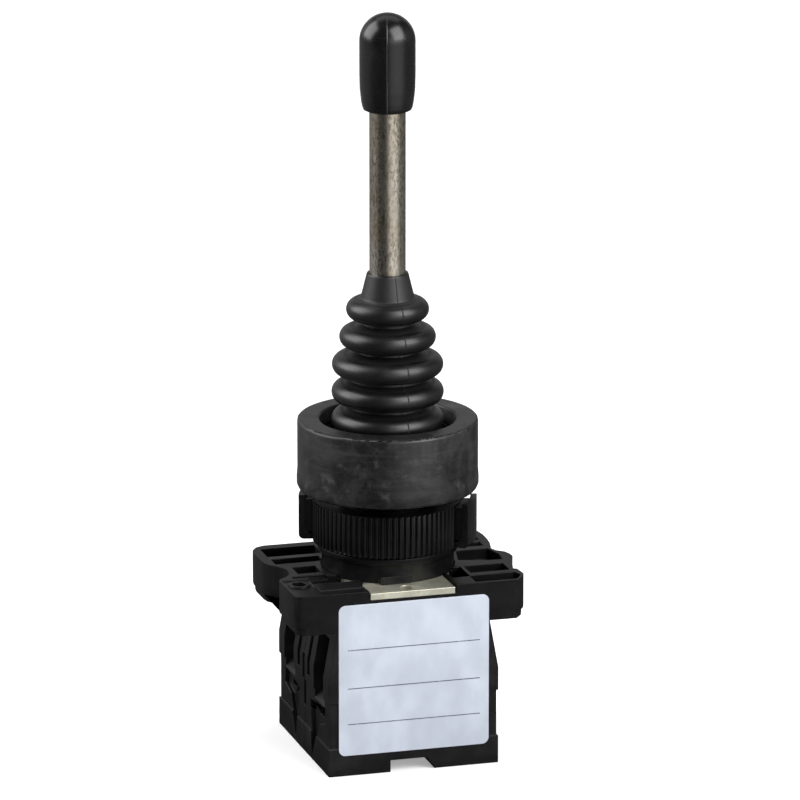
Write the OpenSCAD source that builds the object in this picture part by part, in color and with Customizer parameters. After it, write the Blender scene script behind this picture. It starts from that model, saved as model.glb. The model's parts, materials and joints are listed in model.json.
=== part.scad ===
// Panel-mounted joystick switch: a two-way lever that stays where it is put,
// a round head for a 22 mm panel hole, a knurled ring nut behind the panel,
// a mounting base and two contact blocks side by side under it.
// Millimetres. The origin is on the lever's axis at the height of the feet.
// +Z runs up along the lever, -Y is the labelled front.

/* [Contact blocks] */
// Width of a contact block, left to right
block_w = 39; // [37:0.5:42]
// Depth of one contact block, front to back
block_d = 20.5; // [20.5:0.25:23]
// Height of a contact block
block_h = 33; // [32:0.5:38]
// Height at which the block's sides start to lean inwards
block_shoulder_z = 22; // [20:0.5:26]
// How far each side leans inwards at the top of the block
block_lean = 2; // [1:0.1:2.6]
// Free gap between the two contact blocks
seam_gap = 0.2; // [0.1:0.05:0.4]
// Thickness of the cover that closes a block's switching chamber
cover_t = 2; // [1.6:0.1:2.4]
// Width of a wire pocket, measured along the block's depth
pocket_w = 5.8; // [5.4:0.1:6]
// Distance between the two poles of a block
pole_pitch = 6.9; // [6.8:0.05:7.1]
// Height of the foot band around the bottom of a block
foot_h = 6.3; // [5:0.1:7.5]
// Depth of the shallow band above the feet
band_depth = 0.35; // [0.2:0.05:0.6]
// Diameter of a contact rivet
contact_d = 2.8; // [2.2:0.1:3]
// Diameter of a terminal screw's thread
terminal_screw_d = 3; // [2.5:0.1:3.2]
// Diameter of the screws that hold the blocks to the base
block_screw_d = 3; // [2.5:0.1:3.2]

/* [Mounting base] */
// Width of the base across its wings
base_w = 53.8; // [53:0.2:58]
// Height of the base
base_h = 9; // [8.8:0.1:10]
// Depth of the pockets in the base's top
base_pocket = 2.6; // [1.5:0.1:2.8]
// Diameter of the screw hole in the base's left front corner
base_hole_d = 3; // [2:0.1:3.2]
// Thickness of the steel clamp plate
plate_t = 1.5; // [1:0.1:1.8]
// Width of the clamp plate's tab
tab_w = 19.4; // [16:0.2:21]
// Diameter of the hole in the clamp plate's tab
tab_hole_d = 3.2; // [2.6:0.1:3.4]
// Diameter of the collar under the nut
collar_d = 29.4; // [28.6:0.2:30]
// Height of the collar above the clamp plate
collar_h = 5.8; // [5:0.1:6.2]
// How far the collar's upper rim stands out
collar_rim = 0.85; // [0.4:0.05:1.2]

/* [Ring nut] */
// Diameter over the knurl of the ring nut
nut_d = 33.4; // [32:0.2:34.4]
// Height of the ring nut
nut_h = 9.3; // [8:0.1:10]
// Number of teeth of the knurl
nut_teeth = 78; // [60:1:90]
// Depth of the knurl
knurl_depth = 0.6; // [0.3:0.05:0.8]
// Diameter over the nut's two ears
ear_d = 39.5; // [38.5:0.2:40.4]
// Angle that one ear covers
ear_angle = 28.7; // [20:0.1:40]
// Direction of the first ear, seen from above and counted from the right
ear_turn = -28.4; // [-60:0.1:-10]
// Thickness of an ear's wall
ear_wall = 1.45; // [1.2:0.05:1.8]
// Thickness of the web between an ear and the nut
ear_web = 1.2; // [1:0.1:2]
// How far an ear stands above the nut
ear_rise = 0.8; // [0:0.1:1.2]
// Gap between the collar and the nut
nut_gap = 0.4; // [0.3:0.1:1.2]

/* [Head] */
// Room left for the panel between the nut and the gasket
panel_gap = 2.3; // [1.5:0.1:3]
// Diameter of the threaded stem
stem_d = 22; // [21.8:0.05:22.2]
// Bore of the stem
stem_bore_d = 18.6; // [18.4:0.1:19]
// Pitch of the stem's thread
thread_pitch = 1.5; // [1:0.25:2]
// Diameter of the bezel
bezel_d = 40; // [39.5:0.5:44]
// Height of the bezel
bezel_h = 15.8; // [15.4:0.1:18]
// Thickness of the bezel's wall
bezel_wall = 2.2; // [1.8:0.1:2.6]
// Width of the bezel's upper rim
bezel_rim = 4.8; // [4.4:0.1:5]
// Height of the pivot above the bezel's lower edge
pivot_rise = 6.3; // [6:0.1:6.6]
// Diameter of the pivot pin
pivot_d = 4; // [3.4:0.1:4.4]

/* [Lever] */
// Diameter of the lever's rod
rod_d = 8; // [7.4:0.1:8.4]
// Height of the knob's top above the bezel
lever_reach = 91; // [85:1:110]
// Diameter of the knob
knob_d = 12.3; // [11.6:0.1:14]
// Height of the knob
knob_h = 21.7; // [20:0.1:26]
// Tilt of the lever to each side, in degrees
lever_tilt = 20; // [12:1:20]
// Diameter of the hub around the pivot pin
hub_d = 10.8; // [10.4:0.1:11]
// Distance from the pivot to a push rod
rocker_arm = 7.2; // [7.1:0.05:7.3]
// Diameter of a push rod
push_rod_d = 2.6; // [2.2:0.1:2.8]
// Diameter of the detent ball
ball_d = 3; // [2.4:0.1:3.4]

/* [Bellows] */
// Height of one fold of the bellows
fold_pitch = 6.3; // [6:0.05:6.6]
// Outer radius of the three lower folds
fold_r = 12.4; // [12:0.1:12.8]
// Radius of the rounding of a fold
fold_round = 2.9; // [2.6:0.05:3]
// Thickness of the bellows' wall
bellows_wall = 1.1; // [0.8:0.05:1.3]

/* [Hidden] */
$fn = 64;

// Small sizes shared by several pieces
eps = 0.01;              // overshoot of a cutting solid
slip = 0.02;             // radial clearance of a fixed joint
run = 0.04;              // radial clearance of a turning or sliding joint
wall = 1.2;              // thinnest plastic wall
rim_w = 0.6;             // width of the raised lips on the base
follow_gap = 0.15;       // gap between a rocker arm's tip and its push rod
label_t = 0.15;          // thickness of the label
label_margin = 2.3;      // bare strip beside the label
coil_sides = 6;          // sides of a spring wire's section

// Heights, from the feet up
base_z = block_h;
base_top = base_z + base_h;
plate_top = base_top - 0.6;
plate_z = plate_top - plate_t;
collar_top = plate_top + collar_h;
nut_z = collar_top + nut_gap;
nut_top = nut_z + nut_h;
gasket_z = nut_top + panel_gap;
gasket_drop = 0.5;
bezel_z = gasket_z + gasket_drop;
bezel_top = bezel_z + bezel_h;
pivot_z = bezel_z + pivot_rise;
lever_top = bezel_top + lever_reach;

// Contact block
front_y = -(block_d + seam_gap / 2);
block_half = block_w / 2;
label_half = block_half - label_margin;
block_back_y = -seam_gap / 2;
pole_y = [block_back_y - wall - pocket_w / 2, block_back_y - wall - pocket_w / 2 - pole_pitch];
chamber_half = block_half - 10.9;
chamber_back_y = block_back_y - 1.6;
chamber_front_y = pole_y[1] - pocket_w / 2 - 0.6;
chamber_floor = 3.9;
cover_z = block_h - cover_t;
cover_ledge = 2;
pocket_x = chamber_half + wall;
pocket_floor = 9.8;
pocket_top = cover_z - 0.6;
notch_h = 2.7;
sill_z = 14.4;
slit_z = 16.6;
window_extra = 2;
band_top = 16.8;
screw_x = 13.5;
screw_head_h = 2;
screw_head_d = 1.6 * block_screw_d;
block_screw_y = front_y + screw_head_d / 2 + wall - 0.4;
block_screw_z = notch_h - 1.2;
block_screw_grip = 5.5;

// Contacts and terminals
strip_z = 14;
strip_t = 1;
rivet_h = 0.5;
contact_x = 6.4;
strip_in = 5;
strip_out = 17;
strip_w = pocket_w - 1.2;
clamp_z = 10.6;
clamp_t = 1.2;
entry_z = clamp_z + clamp_t - 0.4;
terminal_head_h = 2.2;
travel = rocker_arm * sin(lever_tilt);
bridge_t = 0.8;
bridge_z = strip_z + strip_t + 2 * rivet_h + travel + 0.4;
bridge_half = contact_x + contact_d / 2;
bridge_w = 3.2;
window_w = bridge_w + 0.4;
window_h = 6;
carrier_half = 3.6;
carrier_z = bridge_z - 6.2;
carrier_top = cover_z - travel - 0.35;
carrier_front = pole_y[1] - window_w / 2 - 1.2;
carrier_back = pole_y[0] + window_w / 2 + 0.7;
carrier_mid = (pole_y[0] + pole_y[1]) / 2;
rod_socket = 2;
return_spring_r = 2.6;
return_wire = 0.35;
contact_spring_r = 1.4;
contact_wire = 0.2;

// Base
half_w = base_w / 2;
back_y = -front_y;
collar_r = collar_d / 2;
tab_half = tab_w / 2;
tab_hole = [-0.8, front_y + 2.7];
seat_gap = 0.2;
hole_x = -half_w + 3.5;
hole_y = -10.9;
boss_r = base_hole_d / 2 + 1;
pocket_z = base_top - base_pocket;
groove_z = base_top - 0.8;

// Head and lever
recess_d = bezel_d - 2 * bezel_rim;
head_d = bezel_d - 2 * bezel_wall;
stem_r = stem_d / 2;
stem_bore_r = stem_bore_d / 2;
stem_end = base_z + 3.2;
snap_z = stem_end + 0.9;
snap_t = 1.1;
snap_depth = 0.9;
ledge_z = snap_z + snap_t;
well_r = stem_r + 3.4;
flange_t = 2.8;
insert_r = stem_bore_r - 0.1;
slot_half = hub_d / 2;
slot_reach = 12;
slot_floor = bezel_z + 0.3;
head_top = pivot_z + 4.2;
bezel_skin_r = head_d / 2 + slip;
clamp_ring_t = 1;
flange_z = head_top;
flange_top = flange_z + 1;
clamp_ring_z = flange_top;
clamp_ring_top = clamp_ring_z + clamp_ring_t;
hub_half = slot_half - 0.4;
hub_r = hub_d / 2;
neck_r = hub_half - 0.3;
tip_r = 1.5;
ball_r = ball_d / 2;
ball_drop = hub_r + ball_r + 0.25;
ball_z = pivot_z - ball_drop;
dent_r = ball_r + 0.5;
insert_top = ball_z - 0.45;
detent_floor = insert_top - 8.4;
rod_r = rod_d / 2;
rod_z = pivot_z + 3.6;
neck_top = pivot_z + 8.4;
knob_z = lever_top - knob_h;
rod_top = lever_top - 7;
roll_pin_z = neck_top - 1.7;
push_rod_r = push_rod_d / 2;
push_rod_top = pivot_z - tip_r - follow_gap;

// Bellows: the top fold and the collar on the rod are narrower
fold_rs = [fold_r, fold_r, fold_r - 0.1, fold_r - 1.74, fold_r - 3.25];
fold_z0 = bezel_top - 0.3;
function fold_z(i) = fold_z0 + i * (fold_pitch - 0.06);
cuff_z = fold_z(4) + 3.7;
cuff_top = cuff_z + 4.6;

// A round bar along X, centred on x = 0
module bar_x(r, half) {
    rotate([0, 90, 0]) translate([0, 0, -half]) cylinder(r = r, h = 2 * half);
}

// A box from its lowest to its highest corner
module box(low, high) {
    translate(low) cube(high - low);
}

// A ring with square edges
module ring(r_out, r_in, z0, z1) {
    difference() {
        translate([0, 0, z0]) cylinder(r = r_out, h = z1 - z0);
        translate([0, 0, z0 - 1]) cylinder(r = r_in, h = z1 - z0 + 2);
    }
}

// The rear half of the switch is the front half turned by half a turn
module rear() {
    rotate([0, 0, 180]) children();
}

// Everything that a block has on both sides and at both poles
module at_terminals() {
    for (side = [-1, 1]) {
        for (y = pole_y) {
            translate([side * screw_x, y, 0]) children();
        }
    }
}

// Points of one section of a coil spring's wire
function coil_ring(a, r, z, w) = [for (k = [0:coil_sides - 1])
    let (b = 360 * k / coil_sides)
    [(r + w * cos(b)) * cos(a), (r + w * cos(b)) * sin(a), z + w * sin(b)]];

// A coil spring between two heights; r is its outer radius and w the wire's radius
module coil(r, w, z0, z1, turns, steps) {
    count = turns * steps;
    rise = z1 - z0 - 2 * w;
    points = [for (i = [0:count]) each coil_ring(360 * i / steps, r - w, z0 + w + rise * i / count, w)];
    sides = [for (i = [0:count - 1], k = [0:coil_sides - 1])
        let (a = i * coil_sides + k, b = i * coil_sides + (k + 1) % coil_sides)
        [a, a + coil_sides, b + coil_sides, b]];
    first = [for (k = [0:coil_sides - 1]) k];
    last = [for (k = [coil_sides - 1:-1:0]) count * coil_sides + k];
    polyhedron(points, concat(sides, [first, last]), convexity = 8);
}

// ---------------------------------------------------------------- head

// Rubber-coated ring around the head
module bezel() {
    color([0.2, 0.2, 0.21]) rotate_extrude() polygon([
        [bezel_skin_r, bezel_z + 0.9],
        [bezel_d / 2 - 0.9, bezel_z],
        [bezel_d / 2 - 0.3, bezel_z],
        [bezel_d / 2 + 0.15, bezel_z + 1.1],
        [bezel_d / 2 + 0.15, bezel_z + 2.6],
        [bezel_d / 2, bezel_z + 4.4],
        [bezel_d / 2, bezel_top - 0.4],
        [bezel_d / 2 - 0.4, bezel_top],
        [recess_d / 2, bezel_top],
        [recess_d / 2 - 0.9, clamp_ring_top + 0.6],
        [recess_d / 2 - 0.9, clamp_ring_top],
        [bezel_skin_r, clamp_ring_top]]);
}

// Section of the stem's thread, as rings
function thread_points() = [for (z = [snap_z + 2 * snap_t:thread_pitch:slot_floor - 2 * thread_pitch])
    each [[stem_r, z], [stem_r - 0.45, z + thread_pitch / 2]]];

// Head body with the threaded stem, the rocker's slot and the pivot bores
module head_body() {
    color([0.12, 0.12, 0.13]) difference() {
        rotate_extrude() polygon(concat(
            [[stem_bore_r, stem_end],
             [stem_r - 0.5, stem_end],
             [stem_r, stem_end + 0.5],
             [stem_r, snap_z - run],
             [stem_r - snap_depth, snap_z - run],
             [stem_r - snap_depth, snap_z + snap_t + run],
             [stem_r, snap_z + snap_t + run]],
            thread_points(),
            [[stem_r, gasket_z + 0.6],
             [stem_r, bezel_z + 1.2],
             [head_d / 2, bezel_z + 1.2],
             [head_d / 2, head_top],
             [0, head_top],
             [0, slot_floor],
             [stem_bore_r, slot_floor]]));
        box([-slot_half, -slot_reach, slot_floor - 1], [slot_half, slot_reach, head_top + 1]);
        translate([0, 0, slot_floor - 1]) cylinder(r = stem_bore_r, h = 1 + eps);
        translate([0, 0, pivot_z]) bar_x(pivot_d / 2 + slip, head_d);
    }
}

// Rubber seal between the head and the panel
module panel_gasket() {
    color([0.08, 0.08, 0.08]) rotate_extrude() polygon([
        [stem_r + 0.2, bezel_z + 1.2],
        [stem_r + 0.2, gasket_z + 0.3],
        [stem_r + 1.6, gasket_z],
        [head_d / 2 - 3, gasket_z],
        [head_d / 2 - 1.4, gasket_z + 0.5],
        [head_d / 2 - 1.4, bezel_z + 1.2]]);
}

// Outline of the bellows' trunk through the centres of the folds
function trunk(shift) = [for (i = [0:4]) [fold_rs[i] - fold_round + shift, fold_z(i)]];

// Rubber bellows from the head up to the rod
module bellows() {
    color([0.1, 0.1, 0.1]) difference() {
        rotate_extrude() union() {
            polygon(concat(
                [[0, flange_z], [recess_d / 2 + 1.8, flange_z], [recess_d / 2 + 1.8, flange_top],
                 [fold_r - 0.9, flange_top], [fold_r - 0.9, fold_z0 - 1]],
                trunk(0.6),
                [[rod_r + 1.9, cuff_z], [rod_r + 0.65, cuff_top - 0.3], [rod_r + 0.4, cuff_top],
                 [0, cuff_top]]));
            for (i = [0:4]) {
                translate([fold_rs[i] - fold_round, fold_z(i)]) circle(r = fold_round);
            }
        }
        rotate_extrude() union() {
            polygon(concat(
                [[0, flange_z - 1], [fold_r - 2.1, flange_z - 1], [fold_r - 2.1, fold_z0 - 1]],
                trunk(-0.5),
                [[rod_r + 0.9, cuff_z - 0.8], [0, cuff_z - 0.8]]));
            for (i = [0:4]) {
                translate([fold_rs[i] - fold_round, fold_z(i)]) circle(r = fold_round - bellows_wall);
            }
        }
        translate([0, 0, cuff_z - 2]) cylinder(r = rod_r + 0.1, h = 10);
    }
}

// Ring that presses the bellows' flange down
module bellows_clamp_ring() {
    color([0.2, 0.2, 0.21]) ring(bezel_skin_r - 0.3, recess_d / 2 - 1.4, clamp_ring_z, clamp_ring_top);
}

// Pin on which the lever tilts
module pivot_pin() {
    color([0.75, 0.75, 0.77]) translate([0, 0, pivot_z]) bar_x(pivot_d / 2, head_d / 2 - 1);
}

// Ball that drops into the hub's dents
module detent_ball() {
    color([0.8, 0.8, 0.82]) translate([0, 0, ball_z]) sphere(r = ball_r);
}

// Spring under the detent ball
module detent_spring() {
    color([0.75, 0.75, 0.77]) coil(ball_r - 0.15, 0.2, detent_floor + 0.02, ball_z - ball_r - 0.02, 6, 12);
}

// Plastic core of the stem that guides the push rods and the detent ball
module guide_insert() {
    color([0.85, 0.84, 0.8]) difference() {
        union() {
            translate([0, 0, base_z]) cylinder(r = well_r - 0.2, h = flange_t);
            translate([0, 0, base_z + flange_t - eps])
                cylinder(r = insert_r, h = insert_top - base_z - flange_t);
        }
        for (side = [-1, 1]) {
            translate([0, side * rocker_arm, base_z - 1]) cylinder(r = push_rod_r + run, h = insert_top);
        }
        translate([0, 0, detent_floor]) cylinder(r = ball_r + run, h = 2 * ball_drop);
    }
}

// Snap ring that holds the base on the stem
module stem_snap_ring() {
    color([0.6, 0.6, 0.62]) difference() {
        ring(well_r - 1, stem_r - snap_depth + slip, snap_z, snap_z + snap_t);
        box([-3, 0, snap_z - 1], [3, well_r, snap_z + snap_t + 1]);
    }
}

// ---------------------------------------------------------------- base

// Collar between the clamp plate and the nut, with a rim and a key on the front
module stem_collar() {
    color([0.13, 0.13, 0.13]) difference() {
        union() {
            rotate_extrude() polygon([
                [stem_r + 0.15, plate_top],
                [collar_r, plate_top],
                [collar_r, collar_top - 1.7],
                [collar_r + collar_rim, collar_top - 1.4],
                [collar_r + collar_rim, collar_top - 0.2],
                [collar_r + collar_rim - 0.2, collar_top],
                [stem_r + 0.15, collar_top]]);
            box([-6, -collar_r - 0.3, plate_top], [1.2, -stem_r - 1, plate_top + 1.8]);
        }
        translate([0, 0, plate_top - 1]) cylinder(r = stem_r + 0.15, h = collar_h + 2);
    }
}

// Plan of the clamp plate's front tab, wider by grow on every side
function tab_points(grow) = [
    [tab_half - 0.2 + grow, front_y - grow],
    [-tab_half - 0.2 - grow, front_y - grow],
    [-tab_half - 0.6 - grow, -collar_r + grow],
    [-tab_half + 0.6 - grow, -collar_r + 3]];

// Body of the clamp plate: a disc under the collar and a tab to each side
module clamp_body(grow, h) {
    front = tab_points(grow);
    translate([0, 0, plate_z]) cylinder(r = collar_r - 0.6 + grow, h = h);
    translate([0, 0, plate_z]) linear_extrude(h) polygon(concat(front, [for (p = front) -p]));
}

// Zinc-plated steel plate that ties the base to the stem
module clamp_plate() {
    color([0.82, 0.8, 0.68]) difference() {
        clamp_body(0, plate_t);
        translate([0, 0, plate_z - 1]) cylinder(r = stem_r + 0.15, h = plate_t + 2);
        for (side = [-1, 1]) {
            translate([side * tab_hole[0], side * tab_hole[1], plate_z - 1])
                cylinder(d = tab_hole_d, h = plate_t + 2);
        }
    }
}

// Left edge of the base's plan from front to back: rounded corners and a bay between them
function left_edge(w) = [
    [-w + 1.8, front_y],
    [-w + 0.7, front_y + 0.3],
    [-w + 0.2, front_y + 1],
    [-w, front_y + 2.4],
    [-w, -7],
    [-w + 0.4, -6],
    [-w + 2.6, -4.1],
    [-w + 3.6, -2.4],
    [-w + 3.9, -0.4],
    [-w + 3.8, 1.6],
    [-w + 2.9, 3.4],
    [-w + 1.5, 5.2],
    [-w + 0.5, 7],
    [-w + 0.2, 9],
    [-w + 0.2, back_y - 5.2],
    [-w + 0.6, back_y - 3],
    [-w + 1.8, back_y - 1],
    [-w + 4, back_y]];

// Right edge of the base's plan from back to front: a rounded lobe and a bevelled wing
function right_edge(w) = [
    [w - 4, back_y],
    [w - 1.8, back_y - 0.8],
    [w - 0.5, back_y - 2],
    [w - 0.1, back_y - 5.2],
    [w - 0.2, 12],
    [w - 0.5, 8.8],
    [w - 1.2, 5.7],
    [w - 1.6, 4.2],
    [w - 1, 2.5],
    [w + 0.6, 1],
    [w + 1.2, -1],
    [w + 1.3, -2.7],
    [w + 0.4, -5.2],
    [w - 0.5, -8.2],
    [w - 1.5, -12.2],
    [w - 0.7, -12.7],
    [w - 0.4, front_y + 4.2],
    [w - 1.1, front_y + 2.2],
    [w - 2.7, front_y]];

// Plan of the base, larger by grow at both wings
module base_plan(grow) {
    polygon(concat(left_edge(half_w + grow), right_edge(half_w + grow)));
}

// A pocket in the base's top with a flat floor, over a plan given by its points
module pocket(points, floor_z) {
    translate([0, 0, floor_z]) linear_extrude(base_h) polygon(points);
}

// Plan of a rectangle from its first to its second corner
function area(x0, y0, x1, y1) = [[x0, y0], [x1, y0], [x1, y1], [x0, y1]];

// Everything that is taken out of the base's top on the left
module left_top_cuts() {
    bar_x0 = hole_x + boss_r + 0.7;
    field_x1 = -tab_half - 1;
    // three pockets between ribs, from back to front
    pocket(area(-half_w + 2.4, 11.4, -12, back_y - 3), pocket_z);
    pocket(area(-half_w + 2.6, 5.4, -13.4, 9.2), pocket_z);
    pocket(area(-half_w + 5.4, -3.1, -collar_r - 1.5, 2), pocket_z);
    // groove in front of the ribs and pocket behind the bar
    pocket(area(-half_w + 3.4, -6.4, -collar_r - 1, -5), groove_z);
    pocket(area(bar_x0, -11.8, field_x1, -6.4), groove_z - 1);
    // sunk field inside the lip, around the boss and the bar
    difference() {
        pocket([
            [-half_w + rim_w, -7.2],
            [-half_w + rim_w, front_y + 2.6],
            [-half_w + rim_w + 0.3, front_y + 1.3],
            [-half_w + rim_w + 1.4, front_y + rim_w],
            [field_x1, front_y + rim_w],
            [field_x1, -7.2]], base_top - 0.3);
        translate([hole_x, hole_y, base_z]) cylinder(r = boss_r, h = 2 * base_h);
        box([bar_x0, front_y + 3.8, base_z], [0, -11.8, base_top + base_h]);
    }
    // screw hole in the boss
    translate([hole_x, hole_y, plate_z - 4]) cylinder(d = base_hole_d, h = 20);
}

// Everything that is taken out of the base's top on the right
module right_top_cuts() {
    // pocket beside the collar, as wide as the lobe
    pocket([
        [collar_r + 2.4, 4.4],
        [half_w - 2.4, 4.4],
        [half_w - 1.3, -0.6],
        [half_w - 1.7, -4.6],
        [half_w - 5, -4.5],
        [collar_r + 0.8, -2.7]], pocket_z);
    // two pockets in the front wing
    pocket(area(collar_r + 0.6, -12.9, half_w - 2.6, -7.6), pocket_z);
    pocket([
        [collar_r - 0.3, -15],
        [half_w - 2.2, -15],
        [half_w - 1.4, front_y + 3.4],
        [half_w - 3, front_y + rim_w],
        [collar_r - 0.3, front_y + rim_w]], pocket_z);
    // void beside the tab
    pocket(area(tab_half + 0.6, -15.4, collar_r - 0.4, -8), plate_z - 1);
    // two pockets in the rear wing
    pocket(area(collar_r + 1.6, 6.8, half_w - 2.6, 9.8), pocket_z);
    pocket(area(12, 11.4, half_w - 2.2, back_y - 3), pocket_z);
}

// Black moulded base that joins the head and the contact blocks
module mounting_base() {
    step_h = 1.6;
    color([0.11, 0.11, 0.11]) difference() {
        union() {
            translate([0, 0, base_z + step_h]) linear_extrude(base_h - step_h) base_plan(0);
            // shallow step at the lower edge of the wings
            translate([0, 0, base_z]) linear_extrude(step_h + eps) base_plan(-0.5);
        }
        // seat of the clamp plate and of the collar
        clamp_body(seat_gap, base_h);
        translate([0, 0, plate_top]) cylinder(r = collar_r + seat_gap, h = 20);
        left_top_cuts();
        right_top_cuts();
        // well for the snap ring and the insert's flange, and the stem's bore
        translate([0, 0, base_z - 1]) cylinder(r = well_r, h = ledge_z - base_z + 1);
        translate([0, 0, base_z - 1]) cylinder(r = stem_r + 0.1, h = 20);
        // room under the tab's holes
        for (side = [-1, 1]) {
            translate([side * tab_hole[0], side * tab_hole[1], plate_z - 3])
                cylinder(d = tab_hole_d + 0.4, h = 10);
        }
        // threaded holes for the block screws
        for (x = [-screw_x, screw_x], side = [-1, 1]) {
            translate([x, side * block_screw_y, base_z - 1])
                cylinder(d = block_screw_d + 2 * slip, h = block_screw_grip + 1.2);
        }
        // cores in the wings' undersides
        for (turn = [0, 180]) {
            rotate([0, 0, turn]) {
                box([block_half + 1.2, front_y + 3.6, base_z - 1], [half_w - 2.8, -8.6, base_z + 3]);
                box([block_half + 1.2, 8.6, base_z - 1], [half_w - 2.8, back_y - 4.6, base_z + 2.6]);
            }
        }
    }
}

// A rectangle with rounded corners
module rounded(x0, z0, x1, z1, r) {
    translate([x0 + r, z0]) square([x1 - x0 - 2 * r, z1 - z0]);
    translate([x0, z0 + r]) square([x1 - x0, z1 - z0 - 2 * r]);
    for (x = [x0 + r, x1 - r], z = [z0 + r, z1 - r]) {
        translate([x, z]) circle(r = r);
    }
}

// Bare metallised label across the front of the base and the front block
module label_plate() {
    color([0.86, 0.88, 0.92]) translate([0, front_y, 0]) rotate([90, 0, 0]) linear_extrude(label_t)
        rounded(-label_half, 4.7, label_half, base_top - 2.8, 1.5);
}

// Screws that pull the blocks up against the base
module block_screws() {
    color([0.72, 0.72, 0.74]) for (x = [-screw_x, screw_x], side = [-1, 1]) {
        translate([x, side * block_screw_y, 0]) difference() {
            union() {
                translate([0, 0, block_screw_z]) cylinder(d = screw_head_d, h = screw_head_h);
                translate([0, 0, block_screw_z + 1])
                    cylinder(d = block_screw_d, h = base_z + block_screw_grip - block_screw_z - 1);
            }
            box([-block_screw_d, -0.35, block_screw_z - 1], [block_screw_d, 0.35, block_screw_z + 0.9]);
        }
    }
}

// ---------------------------------------------------------------- contact blocks

// Outline of a block seen from the front, with the release notch at its foot
module block_outline() {
    h = block_half;
    n = block_half - band_depth;
    polygon([
        [4.7, 0], [h, 0], [h, foot_h], [n, foot_h], [n, band_top], [h, band_top],
        [h, block_shoulder_z], [h - block_lean, block_h], [-h + block_lean, block_h],
        [-h, block_shoulder_z], [-h, band_top], [-n, band_top], [-n, foot_h], [-h, foot_h],
        [-h, 0], [-5.3, 0], [-5.3, notch_h], [2.9, notch_h], [4.7, 0.4]]);
}

// One side's wire pockets and the openings in its outer wall
module side_pockets() {
    for (y = pole_y) {
        // terminal chamber
        box([pocket_x, y - pocket_w / 2, pocket_floor], [strip_out + 0.4, y + pocket_w / 2, pocket_top]);
        // screwdriver hole from below
        translate([screw_x, y, -1]) cylinder(d = pocket_w - 0.2, h = pocket_floor + 2);
    }
    // tall window of the outer pole, with a sloping sill
    translate([0, pole_y[1] + pocket_w / 2, 0]) rotate([90, 0, 0]) linear_extrude(pocket_w + window_extra)
        polygon([
            [strip_out, sill_z + 2.4],
            [block_half + 1, sill_z - 0.8],
            [block_half + 1, pocket_top],
            [strip_out, pocket_top]]);
    // narrow window of the inner pole
    box([strip_out, pole_y[0] - 0.7, sill_z + 4.2], [block_half + 1, pole_y[0] + 1.1, pocket_top]);
    // wire entries under the sill, inside the relief above the foot
    box([strip_out, pole_y[1] - 1.9, entry_z], [block_half + 1, pole_y[1] + 1.9, strip_z]);
    box([strip_out, pole_y[0] - 2.1, entry_z], [block_half + 1, pole_y[0] - 0.4, strip_z - 0.6]);
    translate([block_half - 1.3, 0, 0]) rotate([90, 0, 90]) linear_extrude(3) polygon([
        [-4.5, sill_z - 1],
        [-16.2, sill_z + 0.2],
        [-16.6, sill_z - 3.4],
        [-11.8, sill_z - 4.7],
        [-6.6, 0.9]]);
}

// Shell of one contact block
module block_housing() {
    color([0.12, 0.12, 0.12]) difference() {
        translate([0, block_back_y, 0]) rotate([90, 0, 0]) linear_extrude(block_d) block_outline();
        // switching chamber, closed by the cover
        box([-chamber_half, chamber_front_y, chamber_floor], [chamber_half, chamber_back_y, block_h + 1]);
        box([-chamber_half - cover_ledge, chamber_front_y - 0.8, cover_z],
            [chamber_half + cover_ledge, chamber_back_y + 0.6, block_h + 1]);
        for (side = [0, 1]) {
            mirror([side, 0, 0]) side_pockets();
        }
        // slots for the contact strips
        for (y = pole_y) {
            box([-pocket_x - 1, y - strip_w / 2 - 0.05, strip_z - 0.05],
                [pocket_x + 1, y + strip_w / 2 + 0.05, strip_z + strip_t + 0.05]);
        }
        // holes for the block screws
        for (x = [-screw_x, screw_x]) {
            translate([x, block_screw_y, -1]) cylinder(d = block_screw_d + 0.4, h = block_h + 2);
            translate([x, block_screw_y, -1])
                cylinder(d = screw_head_d + 0.5, h = 1 + block_screw_z + screw_head_h);
        }
        // core behind the label
        box([-chamber_half, front_y + 1.4, foot_h], [chamber_half, chamber_front_y - 1.6, block_h + 1]);
        // shallow band across the front
        box([-block_half - 1, front_y - 1, foot_h], [block_half + 1, front_y + band_depth, band_top]);
        // slit along the back edge of both sides
        for (side = [-1, 1]) {
            translate([side * block_half, block_back_y, slit_z]) cube([2.4, 1.4, 12], center = true);
        }
    }
}

// Cover of a block's chamber, with the push rod's hole
module block_cover() {
    color([0.16, 0.16, 0.17]) difference() {
        box([-chamber_half - cover_ledge + 0.1, chamber_front_y - 0.7, cover_z],
            [chamber_half + cover_ledge - 0.1, chamber_back_y + 0.5, block_h]);
        translate([0, -rocker_arm, cover_z - 1]) cylinder(r = push_rod_r + run, h = cover_t + 2);
    }
}

// The four fixed contacts of a block, each a strip with a rivet
module fixed_contacts() {
    color([0.8, 0.6, 0.3]) for (side = [0, 1], y = pole_y) {
        mirror([side, 0, 0]) {
            difference() {
                box([strip_in, y - strip_w / 2, strip_z], [strip_out, y + strip_w / 2, strip_z + strip_t]);
                translate([screw_x, y, strip_z - 1])
                    cylinder(d = terminal_screw_d + 2 * slip, h = strip_t + 2);
            }
            translate([contact_x, y, strip_z + strip_t - eps]) cylinder(d = contact_d, h = rivet_h + eps);
        }
    }
}

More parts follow.
